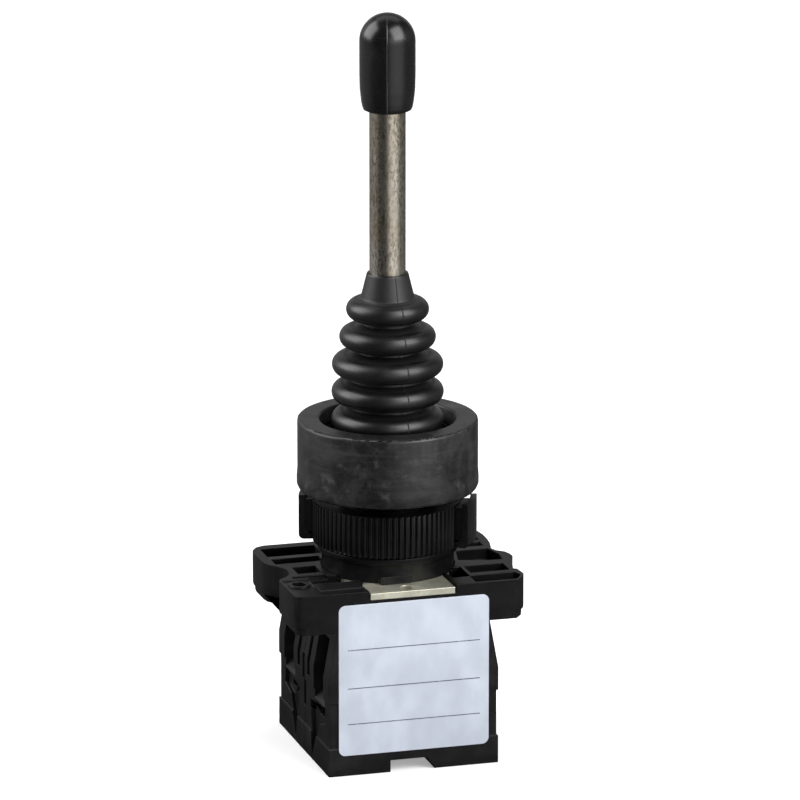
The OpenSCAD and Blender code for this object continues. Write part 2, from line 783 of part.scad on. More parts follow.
// The four saddle washers of a block's terminals
module wire_clamps() {
    half = pocket_w / 2 - 0.3;
    color([0.78, 0.78, 0.76]) at_terminals() difference() {
        union() {
            box([-half, -half, clamp_z], [half, half, clamp_z + clamp_t]);
            box([-half, -half, clamp_z], [half, -half + 0.7, clamp_z + clamp_t + 1]);
            box([-half, half - 0.7, clamp_z], [half, half, clamp_z + clamp_t + 1]);
        }
        translate([0, 0, clamp_z - 1]) cylinder(d = terminal_screw_d + 2 * slip, h = clamp_t + 2);
    }
}

// The four terminal screws of a block, with their heads down
module terminal_screws() {
    head_z = clamp_z - terminal_head_h;
    color([0.74, 0.74, 0.76]) at_terminals() difference() {
        union() {
            translate([0, 0, head_z]) cylinder(d = pocket_w - 1, h = terminal_head_h);
            translate([0, 0, clamp_z - eps])
                cylinder(d = terminal_screw_d, h = strip_z + strip_t + 2.6 - clamp_z);
        }
        box([-pocket_w, -0.4, head_z - 1], [pocket_w, 0.4, head_z + 1]);
        box([-0.4, -1.5, head_z - 1], [0.4, 1.5, head_z + 1]);
    }
}

// Spring that lifts a contact carrier
module return_spring() {
    color([0.75, 0.75, 0.77]) translate([0, carrier_mid, 0])
        coil(return_spring_r, return_wire, chamber_floor + 0.02, carrier_z - 0.02, 6, 14);
}

// Steel rod between the rocker and a contact carrier
module push_rod() {
    color([0.78, 0.78, 0.8]) translate([0, -rocker_arm, carrier_top - rod_socket])
        cylinder(r = push_rod_r, h = push_rod_top - carrier_top + rod_socket);
}

// Moulded carrier with a window for each contact bridge
module contact_carrier() {
    color([0.75, 0.2, 0.15]) difference() {
        box([-carrier_half, carrier_front, carrier_z], [carrier_half, carrier_back, carrier_top]);
        for (y = pole_y) {
            box([-carrier_half - 1, y - window_w / 2, bridge_z],
                [carrier_half + 1, y + window_w / 2, bridge_z + window_h]);
        }
        translate([0, -rocker_arm, carrier_top - rod_socket])
            cylinder(r = push_rod_r + slip, h = rod_socket + 1);
    }
}

// The two contact bridges of a block, each a bar with two rivets
module contact_bridges() {
    color([0.8, 0.6, 0.3]) for (y = pole_y) {
        box([-bridge_half, y - bridge_w / 2, bridge_z], [bridge_half, y + bridge_w / 2, bridge_z + bridge_t]);
        for (x = [-contact_x, contact_x]) {
            translate([x, y, bridge_z - rivet_h]) cylinder(d = contact_d, h = rivet_h + eps);
        }
    }
}

// Springs that press the bridges down in their windows
module contact_springs() {
    color([0.75, 0.75, 0.77]) for (y = pole_y) {
        translate([0, y, 0])
            coil(contact_spring_r, contact_wire, bridge_z + bridge_t + 0.02,
                bridge_z + window_h - 0.02, 5, 12);
    }
}

// ---------------------------------------------------------------- ring nut

// True where an ear stands beside the nut's body
function beside_ear(a) = abs((a - ear_turn + 450) % 180 - 90) < ear_angle / 2 + 1;

// Outline of the knurl: flat crests and flat roots, plain beside the ears
function knurl_points() = [for (i = [0:nut_teeth - 1], k = [0:3])
    let (a = (i + [0, 0.3, 0.5, 0.8][k]) * 360 / nut_teeth,
        r = nut_d / 2 - (k > 1 || beside_ear(a) ? knurl_depth : 0))
    [r * cos(a), r * sin(a)]];

// One ear: an upright wall with a rounded lower edge and a web to the nut's body
module nut_ear() {
    r = ear_d / 2;
    root_r = nut_d / 2 - 2 * knurl_depth;
    round_r = ear_web;
    reach = 2 * r;
    top = nut_top + ear_rise;
    intersection() {
        rotate_extrude() union() {
            translate([r - ear_wall, nut_z + round_r]) square([ear_wall, top - nut_z - round_r]);
            translate([root_r, nut_z]) square([r - round_r - root_r, ear_web]);
            translate([r - round_r, nut_z + round_r]) circle(r = round_r);
        }
        linear_extrude(2 * top) polygon([
            [0, 0],
            [reach * cos(ear_angle / 2), -reach * sin(ear_angle / 2)],
            [reach * cos(ear_angle / 2), reach * sin(ear_angle / 2)]]);
    }
}

// Knurled nut that clamps the panel, with two finger ears
module ring_nut() {
    color([0.13, 0.13, 0.13]) difference() {
        union() {
            translate([0, 0, nut_z]) linear_extrude(nut_h) polygon(knurl_points());
            for (turn = [ear_turn, ear_turn + 180]) {
                rotate([0, 0, turn]) nut_ear();
            }
        }
        translate([0, 0, nut_z - 1]) cylinder(r = stem_r + run, h = nut_h + 3);
        translate([0, 0, nut_top - 0.8]) cylinder(r1 = stem_r, r2 = stem_r + 1, h = 1);
    }
}

// ---------------------------------------------------------------- lever

// Polished steel rod
module lever_rod() {
    color([0.62, 0.6, 0.56]) difference() {
        translate([0, 0, rod_z]) cylinder(r = rod_r, h = rod_top - rod_z);
        translate([0, 0, roll_pin_z]) bar_x(0.8, rod_d);
    }
}

// Moulded knob with a domed top
module knob() {
    r = knob_d / 2;
    dome_z = lever_top - r;
    color([0.04, 0.04, 0.04]) difference() {
        rotate_extrude() union() {
            polygon([
                [0, knob_z], [r - 1.5, knob_z], [r - 0.85, knob_z + 0.35], [r - 0.6, knob_z + 1],
                [r - 0.38, knob_z + 2.2], [r - 0.1, knob_z + 4.7], [r, knob_z + 8], [r, dome_z], [0, dome_z]]);
            intersection() {
                translate([0, dome_z]) circle(r = r);
                translate([0, dome_z - 1]) square([r, r + 2]);
            }
        }
        translate([0, 0, knob_z - 1]) cylinder(r = rod_r + slip, h = rod_top - knob_z + 1.2);
    }
}

// Hub with a socket for the rod, two rocker arms and three detent dents
module lever_hub() {
    color([0.68, 0.67, 0.62]) difference() {
        union() {
            translate([0, 0, pivot_z]) bar_x(hub_r, hub_half);
            translate([0, 0, pivot_z]) cylinder(r = neck_r, h = neck_top - pivot_z);
            box([-1.6, -rocker_arm, pivot_z - 1.1], [1.6, rocker_arm, pivot_z + 1.1]);
            for (side = [-1, 1]) {
                translate([0, side * rocker_arm, pivot_z]) bar_x(tip_r, 1.6);
            }
        }
        translate([0, 0, pivot_z]) bar_x(pivot_d / 2 + run, hub_d);
        translate([0, 0, rod_z - 0.1]) cylinder(r = rod_r + slip, h = neck_top);
        translate([0, 0, roll_pin_z]) bar_x(0.8, hub_d);
        for (a = [-lever_tilt, 0, lever_tilt]) {
            translate([0, 0, pivot_z]) rotate([a, 0, 0]) translate([0, 0, -ball_drop]) sphere(r = dent_r);
        }
    }
}

// Roll pin through the hub's neck and the rod
module hub_roll_pin() {
    color([0.6, 0.6, 0.62]) translate([0, 0, roll_pin_z]) bar_x(0.8 - slip, neck_r - 0.1);
}

// ---------------------------------------------------------------- nodes

bezel();
head_body();
panel_gasket();
bellows();
bellows_clamp_ring();
pivot_pin();
detent_ball();
detent_spring();
guide_insert();
stem_snap_ring();
stem_collar();
clamp_plate();
mounting_base();
block_screws();
label_plate();
block_housing();  // front_block_housing
rear() block_housing();  // rear_block_housing
block_cover();  // front_block_cover
rear() block_cover();  // rear_block_cover
fixed_contacts();  // front_fixed_contacts
rear() fixed_contacts();  // rear_fixed_contacts
wire_clamps();  // front_wire_clamps
rear() wire_clamps();  // rear_wire_clamps
terminal_screws();  // front_terminal_screws
rear() terminal_screws();  // rear_terminal_screws
return_spring();  // front_return_spring
rear() return_spring();  // rear_return_spring
push_rod();  // front_push_rod
rear() push_rod();  // rear_push_rod
contact_carrier();  // front_contact_carrier
rear() contact_carrier();  // rear_contact_carrier
contact_bridges();  // front_contact_bridges
rear() contact_bridges();  // rear_contact_bridges
contact_springs();  // front_contact_springs
rear() contact_springs();  // rear_contact_springs
ring_nut();
lever_rod();
knob();
lever_hub();
hub_roll_pin();
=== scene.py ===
"""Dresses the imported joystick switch: rubber, mouldings, metal parts, label and a plain studio.

Every piece stands where its solid stands. Lengths are metres, +Z runs up along the lever and
-Y is the labelled front.
"""
import json
import math

import bmesh
import bpy
import numpy as np
from bpy.props import FloatProperty, FloatVectorProperty, IntProperty, PointerProperty
from bpy.types import Operator, Panel, PropertyGroup
from mathutils import Matrix, Vector

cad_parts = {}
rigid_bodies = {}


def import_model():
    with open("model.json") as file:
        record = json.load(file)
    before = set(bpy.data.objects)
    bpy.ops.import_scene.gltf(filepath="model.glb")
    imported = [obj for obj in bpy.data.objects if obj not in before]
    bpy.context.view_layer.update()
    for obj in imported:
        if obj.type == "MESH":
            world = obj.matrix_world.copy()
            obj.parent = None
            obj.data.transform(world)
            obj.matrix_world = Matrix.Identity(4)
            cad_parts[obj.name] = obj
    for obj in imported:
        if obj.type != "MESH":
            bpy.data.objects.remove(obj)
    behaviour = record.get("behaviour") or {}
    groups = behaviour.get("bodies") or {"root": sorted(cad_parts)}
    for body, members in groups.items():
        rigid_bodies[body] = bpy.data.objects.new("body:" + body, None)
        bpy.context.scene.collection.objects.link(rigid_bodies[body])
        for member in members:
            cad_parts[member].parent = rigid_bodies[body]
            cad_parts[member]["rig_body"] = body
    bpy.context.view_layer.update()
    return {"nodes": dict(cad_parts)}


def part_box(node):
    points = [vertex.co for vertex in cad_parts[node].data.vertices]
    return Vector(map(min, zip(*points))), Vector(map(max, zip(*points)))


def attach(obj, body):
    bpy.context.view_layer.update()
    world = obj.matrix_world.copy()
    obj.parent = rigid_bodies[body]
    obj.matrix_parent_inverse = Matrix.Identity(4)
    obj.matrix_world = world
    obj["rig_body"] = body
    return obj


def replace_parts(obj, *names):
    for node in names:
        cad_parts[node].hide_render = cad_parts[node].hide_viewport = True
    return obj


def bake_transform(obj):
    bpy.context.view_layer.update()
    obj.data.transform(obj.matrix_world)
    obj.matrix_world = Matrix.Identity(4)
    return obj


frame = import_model()

bl_info = {
    "name": "Panel joystick switch",
    "version": (1, 0, 0),
    "blender": (4, 5, 0),
    "location": "3D View > Sidebar > Joystick",
    "description": "Dresses the packed joystick switch and sets up its studio",
    "category": "Object",
}

MM = 0.001
# The camera: its turn to the left and rise round the switch, the height it rises from, its distance, its own
# small yaw and its pitch, and its focal length in millimetres.
CAMERA_TURN = 0.283361
CAMERA_RISE = 0.271147
CAMERA_TARGET = 70 * MM
CAMERA_AWAY = 1.510463
CAMERA_YAW = 0.001809
CAMERA_PITCH = 0.265420
CAMERA_LENS = 319.332285
# What the room gives off: as light, in mirrored rays where it is dim, and in mirrored rays on its four soft
# sides. A side has its turn from the camera to the viewer's right, the half width of its full and of its
# fading part, and its strength.
ROOM_DIM = 0.02
ROOM_LIGHT = 0.34
ROOM_SIDES = (
    (math.radians(38), math.radians(4), math.radians(42), 1.90),
    (math.radians(98), math.radians(10), math.radians(50), 0.24),
    (math.radians(-106), math.radians(14), math.radians(52), 0.48),
    (math.radians(180), math.radians(12), math.radians(44), 0.45))


def heading(turn, rise=0.0):
    """A unit direction from the switch: turned that far to the viewer's right, and raised."""
    angle = CAMERA_TURN - turn
    return (-math.sin(angle) * math.cos(rise), -math.cos(angle) * math.cos(rise), math.sin(rise))


# ---------------------------------------------------------------- sizes and colours


class JoystickSizes(PropertyGroup):
    """Sizes of the details that the dressed pieces add to the solids."""

    edge: FloatProperty(
        name="Edge rounding", description="Rounding of the mouldings' edges",
        default=0.14 * MM, min=0.02 * MM, max=0.4 * MM, unit="LENGTH")
    bezel_edge: FloatProperty(
        name="Bezel rounding", description="Rounding of the bezel's edges",
        default=0.45 * MM, min=0.02 * MM, max=0.6 * MM, unit="LENGTH")
    tooth_edge: FloatProperty(
        name="Tooth rounding", description="Rounding of the edges of the nut's teeth",
        default=0.09 * MM, min=0.02 * MM, max=0.14 * MM, unit="LENGTH")
    fold_radii: FloatVectorProperty(
        name="Fold radii", description="Outer radius of each fold of the bellows, from below", size=5,
        default=(12.4 * MM, 12.4 * MM, 12.3 * MM, 10.66 * MM, 9.15 * MM), unit="LENGTH")
    fold_pitch: FloatProperty(
        name="Fold pitch", description="Height from one fold to the next",
        default=6.24 * MM, unit="LENGTH")
    fold_round: FloatProperty(
        name="Fold rounding", description="Radius of a fold's rounding",
        default=2.25 * MM, unit="LENGTH")
    fold_depth: FloatProperty(
        name="Fold depth", description="How far a valley lies inside the smaller fold beside it",
        default=4.0 * MM, unit="LENGTH")
    rubber_wall: FloatProperty(
        name="Bellows wall", description="Thickness of the bellows' wall",
        default=1.1 * MM, unit="LENGTH")
    seam_turn: FloatProperty(
        name="Bellows seam", description="Direction of the bellows' mould seam, from the right",
        default=math.radians(-84), unit="ROTATION")
    seam_height: FloatProperty(
        name="Seam height", description="How far the mould seams stand out",
        default=0.06 * MM, unit="LENGTH")
    knob_seam_turn: FloatProperty(
        name="Knob seam", description="Direction of the knob's mould seam, from the right",
        default=math.radians(-107.5), unit="ROTATION")
    ear_turn: FloatProperty(
        name="Ear direction", description="Direction of the nut's right ear, from the right",
        default=math.radians(-28.4), unit="ROTATION")
    web_half: FloatProperty(
        name="Ear web half angle", description="Half the angle that the web behind an ear fills",
        default=math.radians(13.6), unit="ROTATION")
    web_radii: FloatVectorProperty(
        name="Ear web radii", description="Inner and outer radius of the web behind an ear", size=2,
        default=(16.3 * MM, 18.7 * MM), unit="LENGTH")
    web_foot: FloatProperty(
        name="Ear web foot", description="Height from the nut's underside to an ear's web",
        default=1.6 * MM, unit="LENGTH")
    web_top: FloatProperty(
        name="Ear web top", description="Height from an ear's web to the nut's top",
        default=1.0 * MM, unit="LENGTH")
    label_edge: FloatProperty(
        name="Label rounding", description="Rounding of the label's edges",
        default=0.05 * MM, min=0.01 * MM, max=0.1 * MM, unit="LENGTH")
    rule_heights: FloatVectorProperty(
        name="Rule heights", description="Heights of the label's printed rules", size=3,
        default=(28.87 * MM, 20.08 * MM, 11.88 * MM), unit="LENGTH")
    rule_width: FloatProperty(
        name="Rule width", description="Width of a printed rule",
        default=0.22 * MM, unit="LENGTH")
    rule_reach: FloatProperty(
        name="Rule reach", description="Half the length of a printed rule",
        default=15.1 * MM, unit="LENGTH")
    rounds: IntProperty(
        name="Round segments", description="Segments of the turned pieces",
        default=192, min=48, max=288)


class JoystickColours(PropertyGroup):
    """Colours of the finishes and of the studio."""

    moulding: FloatVectorProperty(
        name="Moulding", description="Black moulded plastic", subtype="COLOR",
        default=(0.0048, 0.0048, 0.0052), min=0, max=1)
    bezel: FloatVectorProperty(
        name="Bezel", description="Scuffed black coating of the bezel", subtype="COLOR",
        default=(0.0110, 0.0111, 0.0118), min=0, max=1)
    rubber: FloatVectorProperty(
        name="Bellows", description="Satin black rubber", subtype="COLOR",
        default=(0.0045, 0.0045, 0.0045), min=0, max=1)
    knob: FloatVectorProperty(
        name="Knob", description="Gloss black plastic", subtype="COLOR",
        default=(0.0036, 0.0036, 0.0041), min=0, max=1)
    nickel: FloatVectorProperty(
        name="Rod", description="Dull nickel plate", subtype="COLOR",
        default=(0.51, 0.482, 0.432), min=0, max=1)
    zinc: FloatVectorProperty(
        name="Zinc", description="Zinc plate with a yellow cast", subtype="COLOR",
        default=(0.66, 0.65, 0.53), min=0, max=1)
    foil: FloatVectorProperty(
        name="Label", description="Satin metallised film", subtype="COLOR",
        default=(0.68, 0.735, 0.84), min=0, max=1)
    ink: FloatVectorProperty(
        name="Ink", description="Printed rules", subtype="COLOR",
        default=(0.05, 0.065, 0.10), min=0, max=1)
    brass: FloatVectorProperty(
        name="Brass", description="Contact strips", subtype="COLOR",
        default=(0.76, 0.56, 0.26), min=0, max=1)
    ivory: FloatVectorProperty(
        name="Ivory", description="Guide insert", subtype="COLOR",
        default=(0.70, 0.67, 0.58), min=0, max=1)
    red: FloatVectorProperty(
        name="Red", description="Contact carriers", subtype="COLOR",
        default=(0.42, 0.035, 0.022), min=0, max=1)
    floor: FloatVectorProperty(
        name="Floor", description="Plain pale floor", subtype="COLOR",
        default=(0.80, 0.80, 0.80), min=0, max=1)
    lamp_level: FloatProperty(
        name="Lamp level", description="Common factor of the lamps", default=1.0, min=0.1, max=4)


# ---------------------------------------------------------------- shader maths


class Value:
    """A socket's number. Arithmetic on it adds Math nodes to its finish."""

    def __init__(self, finish, socket):
        self.finish, self.socket = finish, socket

    def _math(self, operation, first, second):
        return self.finish.node("ShaderNodeMath", {"operation": operation}, {0: first, 1: second})

    def __add__(self, other):
        return self._math("ADD", self, other)

    def __radd__(self, other):
        return self._math("ADD", other, self)

    def __sub__(self, other):
        return self._math("SUBTRACT", self, other)

    def __rsub__(self, other):
        return self._math("SUBTRACT", other, self)

    def __mul__(self, other):
        return self._math("MULTIPLY", self, other)

    def __rmul__(self, other):
        return self._math("MULTIPLY", other, self)

    def size(self):
        """The number without its sign."""
        return self._math("ABSOLUTE", self, 0.0)

    def with_max(self, other):
        """The larger of two numbers."""
        return self._math("MAXIMUM", self, other)

    def with_min(self, other):
        """The smaller of two numbers."""
        return self._math("MINIMUM", self, other)

    def ramp(self, low, high):
        """0 at low and below, 1 at high and above, smooth in between."""
        return self.finish.node(
            "ShaderNodeMapRange", {"interpolation_type": "SMOOTHSTEP"},
            {"Value": self, "From Min": low, "From Max": high})


class Graph:
    """A node tree with one way of adding nodes to it."""

    def __init__(self, tree):
        self.tree = tree

    def node(self, kind, settings, values, output=0):
        """A node of that type: settings first, then the values or links of its sockets."""
        made = self.tree.nodes.new(kind)
        for name, value in settings.items():
            setattr(made, name, value)
        for socket, value in values.items():
            target = made.inputs[socket]
            if isinstance(value, Value):
                self.tree.links.new(value.socket, target)
            else:
                target.default_value = value
        return Value(self, made.outputs[output])

    def rays(self):
        """Whether a ray is the camera's own, and whether it is mirrored or let through."""
        camera, glossy, through = (
            self.node("ShaderNodeLightPath", {}, {}, "Is %s Ray" % kind)
            for kind in ("Camera", "Glossy", "Transmission"))
        return camera, (glossy + through).with_min(1.0)

    def room_level(self, place, low, high):
        """How bright the room looks in a gloss surface, by direction from the switch: dim, with two soft
        bright sides and a white backdrop. The backdrop fades out above the horizon, from low to high."""
        level = ROOM_DIM
        flat = self.node("ShaderNodeVectorMath", {"operation": "MULTIPLY"}, {0: place, 1: (1, 1, 0)})
        flat = self.node("ShaderNodeVectorMath", {"operation": "NORMALIZE"}, {0: flat})
        up = self.node("ShaderNodeSeparateXYZ", {}, {0: place}, 2)
        for turn, narrow, wide, strength in ROOM_SIDES:
            facing = self.node(
                "ShaderNodeVectorMath", {"operation": "DOT_PRODUCT"}, {0: flat, 1: heading(turn)}, "Value")
            level = facing.ramp(math.cos(wide), math.cos(narrow)) * (strength * up.ramp(high, low)) + level
        return level


class Finish(Graph):
    """A procedural material on object coordinates: a Principled shader and what feeds it."""

    def __init__(self, name, **constants):
        self.material = bpy.data.materials.new(name)
        self.material.use_nodes = True
        super().__init__(self.material.node_tree)
        self.shader = next(n for n in self.tree.nodes if n.type == "BSDF_PRINCIPLED")
        for socket, value in constants.items():
            self.shader.inputs[socket.replace("_", " ")].default_value = value
        self.place = self.node("ShaderNodeTexCoord", {}, {}, "Object")
        axes = self.node("ShaderNodeSeparateXYZ", {}, {0: self.place}).socket.node
        self.x, self.y, self.z = (Value(self, axes.outputs[i]) for i in range(3))

    def feed(self, **sockets):
        """Links or sets sockets of the shader."""
        for name, value in sockets.items():
            target = self.shader.inputs[name.replace("_", " ")]
            if isinstance(value, Value):
                self.tree.links.new(value.socket, target)
            else:
                target.default_value = value
        return self.material

    def noise(self, per_metre, detail=3.0, rough=0.55, stretch=(1, 1, 1), shift=(0, 0, 0), bend=0.0):
        """Noise with that many cells in a metre, squeezed along each axis by stretch."""
        at = self.node("ShaderNodeMapping", {}, {"Vector": self.place, "Scale": stretch, "Location": shift})
        return self.node(
            "ShaderNodeTexNoise", {},
            {"Vector": at, "Scale": per_metre, "Detail": detail, "Roughness": rough, "Distortion": bend})

    def cells(self, per_metre):
        """Voronoi cells: the distance to a cell's centre."""
        return self.node("ShaderNodeTexVoronoi", {}, {"Vector": self.place, "Scale": per_metre}, "Distance")

    def mix(self, factor, first, second):
        """A colour between two, or between two linked colours."""
        first, second = (c if isinstance(c, Value) else (*c, 1) for c in (first, second))
        return self.node(
            "ShaderNodeMix", {"data_type": "RGBA"}, {0: factor, 6: first, 7: second}, 2)

    def bump(self, height, depth, strength=1.0, under=None):
        """A Bump of that depth in metres, laid over another one."""
        values = {"Height": height, "Distance": depth, "Strength": strength}
        if under is not None:
            values["Normal"] = under
        return self.node("ShaderNodeBump", {}, values)


def scaled(colour, factor):
    """The colour times a number."""
    return tuple(min(1.0, c * factor) for c in colour)


def dust_and_scuffs(finish, amount):
    """A mask of pale dust in soft clouds with a few fine scratches, from 0 to amount."""
    cloud = finish.noise(220, 5, 0.62, shift=(3, 1, 2)).ramp(0.46, 0.78)
    fleck = finish.noise(2600, 2, 0.7).ramp(0.62, 0.8)
    scratch = finish.noise(420, 3, 0.5, stretch=(1, 1, 9), bend=0.6).ramp(0.64, 0.70)
    return (cloud * 0.55 + fleck * 0.25 + scratch * 0.35) * amount


def moulding_finish(name, colour, grain=1.0, dust=0.5, specular=0.26, roughness=0.42):
    """Moulded plastic: fine grain, faint flow marks, dust in clouds and polished patches."""
    f = Finish(name, Specular_IOR_Level=specular)
    mask = dust_and_scuffs(f, dust)
    flow = f.noise(90, 4, 0.5, stretch=(1, 1, 2.5))
    tint = f.mix(flow.ramp(0.3, 0.7), scaled(colour, 0.72), scaled(colour, 1.25))
    grain_height = f.noise(3800, 2, 0.6)
    rough = roughness - 0.10 + flow * 0.16 + mask * 0.22
    relief = f.bump(flow, 0.05 * MM, 0.5, f.bump(grain_height, 0.012 * MM * grain, 0.5))
    return f.feed(
        Base_Color=f.mix(mask, tint, scaled(colour, 3.6)), Roughness=rough, Normal=relief)


def bezel_finish(colours):
    """Matte black coating with cloudy grey scuffs, rubbed spots and faint upright marks."""
    f = Finish("Scuffed bezel coating", Specular_IOR_Level=0.50)
    colour = colours.bezel
    cloud = f.noise(95, 6, 0.66, stretch=(1, 1, 1.7), bend=0.8).ramp(0.40, 0.68)
    patch = f.noise(330, 4, 0.6, shift=(1, 5, 0)).ramp(0.52, 0.74)
    smear = f.noise(150, 3, 0.55, stretch=(1, 1, 0.35), shift=(0, 2, 0)).ramp(0.55, 0.72)
    speck = f.cells(900).ramp(0.16, 0.05) * f.noise(260, 2, 0.5).ramp(0.55, 0.65)
    ring = f.noise(120, 2, 0.5, stretch=(0.4, 0.4, 9)).ramp(0.5, 0.75)
    tint = f.mix(cloud, scaled(colour, 0.45), scaled(colour, 1.7))
    tint = f.mix(patch * 0.55 + smear * 0.30, tint, scaled(colour, 4.0))
    tint = f.mix(speck * 0.5 + ring * 0.12, tint, scaled(colour, 6.0))
    rough = 0.34 + cloud * 0.10 + patch * 0.16 - smear * 0.05
    relief = f.bump(cloud + patch * 0.4, 0.05 * MM, 0.5, f.bump(f.noise(3200, 3, 0.6), 0.02 * MM, 0.6))
    return f.feed(Base_Color=tint, Roughness=rough, Normal=relief)


def rubber_finish(colours):
    """Satin rubber: soft grain, a faint bloom in the valleys and rubbed crests."""
    f = Finish("Satin bellows rubber", Specular_IOR_Level=0.55)
    colour = colours.rubber
    bloom = f.noise(160, 5, 0.6, bend=0.5).ramp(0.45, 0.75)
    fleck = f.noise(2100, 2, 0.7).ramp(0.66, 0.8)
    valley = f.node("ShaderNodeAttribute", {"attribute_name": "valley"}, {}, "Fac")
    seam = f.node("ShaderNodeAttribute", {"attribute_name": "seam"}, {}, "Fac")
    tint = f.mix(bloom * 0.4, scaled(colour, 0.8), scaled(colour, 2.2))
    tint = f.mix(valley * 0.35 + fleck * 0.1, tint, scaled(colour, 3.2))
    # Painted shade: the mould seam is painted much darker, standing in for the shade of a groove.
    tint = f.mix(seam, tint, scaled(colour, 0.15))
    rough = 0.37 + bloom * 0.08 + valley * 0.12 + seam * 0.45
    creases = f.noise(420, 3, 0.5, stretch=(0.5, 0.5, 6))
    relief = f.bump(creases, 0.05 * MM, 0.35, f.bump(f.noise(2600, 3, 0.6), 0.016 * MM, 0.5))
    return f.feed(Base_Color=tint, Roughness=rough, Normal=relief)


def knob_finish(colours):
    """Gloss plastic with faint sinks, hairlines and finger smears."""
    f = Finish("Gloss knob plastic", Specular_IOR_Level=0.5)
    colour = colours.knob
    smear = f.noise(140, 4, 0.6, stretch=(1, 1, 0.6), bend=1.0).ramp(0.45, 0.75)
    hair = f.noise(520, 2, 0.5, stretch=(1, 1, 8), bend=0.8).ramp(0.66, 0.70)
    seam = f.node("ShaderNodeAttribute", {"attribute_name": "seam"}, {}, "Fac")
    tint = f.mix(smear * 0.35 + hair * 0.3, scaled(colour, 0.9), scaled(colour, 3.0))
    # Painted highlight: the mould seam is painted ten times lighter, a highlight along its raised line.
    tint = f.mix(seam * 0.7, tint, scaled(colour, 10.0))
    rough = 0.26 + smear * 0.08 + hair * 0.12 + seam * 0.2
    relief = f.bump(f.noise(110, 3, 0.5), 0.12 * MM, 0.25, f.bump(f.noise(1800, 2, 0.5), 0.006 * MM, 0.3))
    return f.feed(Base_Color=tint, Roughness=rough, Normal=relief)


def nickel_finish(colours):
    """Dull nickel: fine lengthwise and turned scratches, tarnish in drifts and pits."""
    f = Finish("Dull nickel rod", Metallic=1.0)
    colour = colours.nickel
    drift = f.noise(85, 5, 0.62, stretch=(1, 1, 0.45), bend=0.6).ramp(0.36, 0.70)
    mottle = f.noise(2100, 4, 0.75, stretch=(1, 1, 0.42), shift=(2, 0, 1), bend=0.15)
    streak = f.noise(1500, 3, 0.6, stretch=(1, 1, 0.08))
    turned = f.noise(700, 3, 0.6, stretch=(0.15, 0.15, 5))
    pit = f.cells(900).ramp(0.17, 0.05) * f.noise(260, 2, 0.5).ramp(0.50, 0.62)
    rub = f.noise(760, 3, 0.6, stretch=(1, 1, 0.3), shift=(0, 4, 0)).ramp(0.62, 0.74)
    tint = f.mix(drift, scaled(colour, 1.25), tuple(c * k for c, k in zip(colour, (0.78, 0.70, 0.56))))
    patch = f.noise(210, 3, 0.6, stretch=(1, 1, 0.35), shift=(5, 0, 1), bend=0.8).ramp(0.35, 0.62)
    tarnish = mottle.ramp(0.44, 0.58) * (0.35 + patch * 0.5)
    tint = f.mix(tarnish, tint, tuple(c * k for c, k in zip(colour, (0.34, 0.31, 0.25))))
    tint = f.mix(rub * 0.7, tint, (0.86, 0.83, 0.78))
    tint = f.mix(pit * 0.8, tint, scaled(colour, 0.22))
    rough = 0.14 + drift * 0.08 + streak * 0.10 + mottle * 0.16 + pit * 0.2 - rub * 0.04
    lines = f.bump(turned, 0.010 * MM, 0.4, f.bump(streak, 0.010 * MM, 0.5))
    relief = f.bump(mottle, 0.05 * MM, 0.45, lines)
    return f.feed(Base_Color=tint, Roughness=rough, Normal=relief)


def plated_finish(name, colour, roughness=0.34, metallic=0.80, spots=0.35):
    """Plated or drawn steel: rolling marks, passivation clouds and small stains."""
    f = Finish(name, Metallic=metallic)
    cloud = f.noise(260, 5, 0.6, bend=0.5).ramp(0.35, 0.7)
    rolled = f.noise(900, 3, 0.6, stretch=(0.12, 1, 1))
    stain = f.noise(620, 3, 0.6, shift=(2, 2, 2)).ramp(0.62, 0.75) * spots
    tint = f.mix(cloud, scaled(colour, 0.86), scaled(colour, 1.12))
    tint = f.mix(stain, tint, tuple(c * k for c, k in zip(colour, (0.55, 0.5, 0.4))))
    rough = roughness + cloud * 0.1 + rolled * 0.1 + stain * 0.2
    relief = f.bump(rolled, 0.01 * MM, 0.5, f.bump(cloud, 0.02 * MM, 0.4))
    return f.feed(Base_Color=tint, Roughness=rough, Normal=relief)


def foil_finish(colours, sizes):
    """Satin metallised film with fine printed rules and soft dents."""
    f = Finish("Metallised label film", Specular_IOR_Level=0.6)
    colour = colours.foil
    ink = None
    for height in sizes.rule_heights:
        line = (f.z - height).size().ramp(sizes.rule_width * 0.62, sizes.rule_width * 0.38)
        ink = line if ink is None else ink.with_max(line)
    ink = ink * f.x.size().ramp(sizes.rule_reach + 0.05 * MM, sizes.rule_reach)
    print_skip = f.noise(1800, 2, 0.6).ramp(0.30, 0.42)
    ink = ink * (0.62 + print_skip * 0.38)
    satin = f.noise(210, 4, 0.55, stretch=(1, 1, 0.6)).ramp(0.3, 0.75)
    grain = f.noise(2600, 2, 0.6, stretch=(0.3, 1, 1))
    tint = f.mix(satin, scaled(colour, 0.94), scaled(colour, 1.05))
    tint = f.mix(ink, tint, tuple(colours.ink))
    rough = 0.34 + satin * 0.10 + grain * 0.06 + ink * 0.15
    relief = f.bump(satin, 0.03 * MM, 0.25, f.bump(grain, 0.004 * MM, 0.4))
    return f.feed(Base_Color=tint, Metallic=0.45 - ink * 0.45, Roughness=rough, Normal=relief)


# ---------------------------------------------------------------- meshes


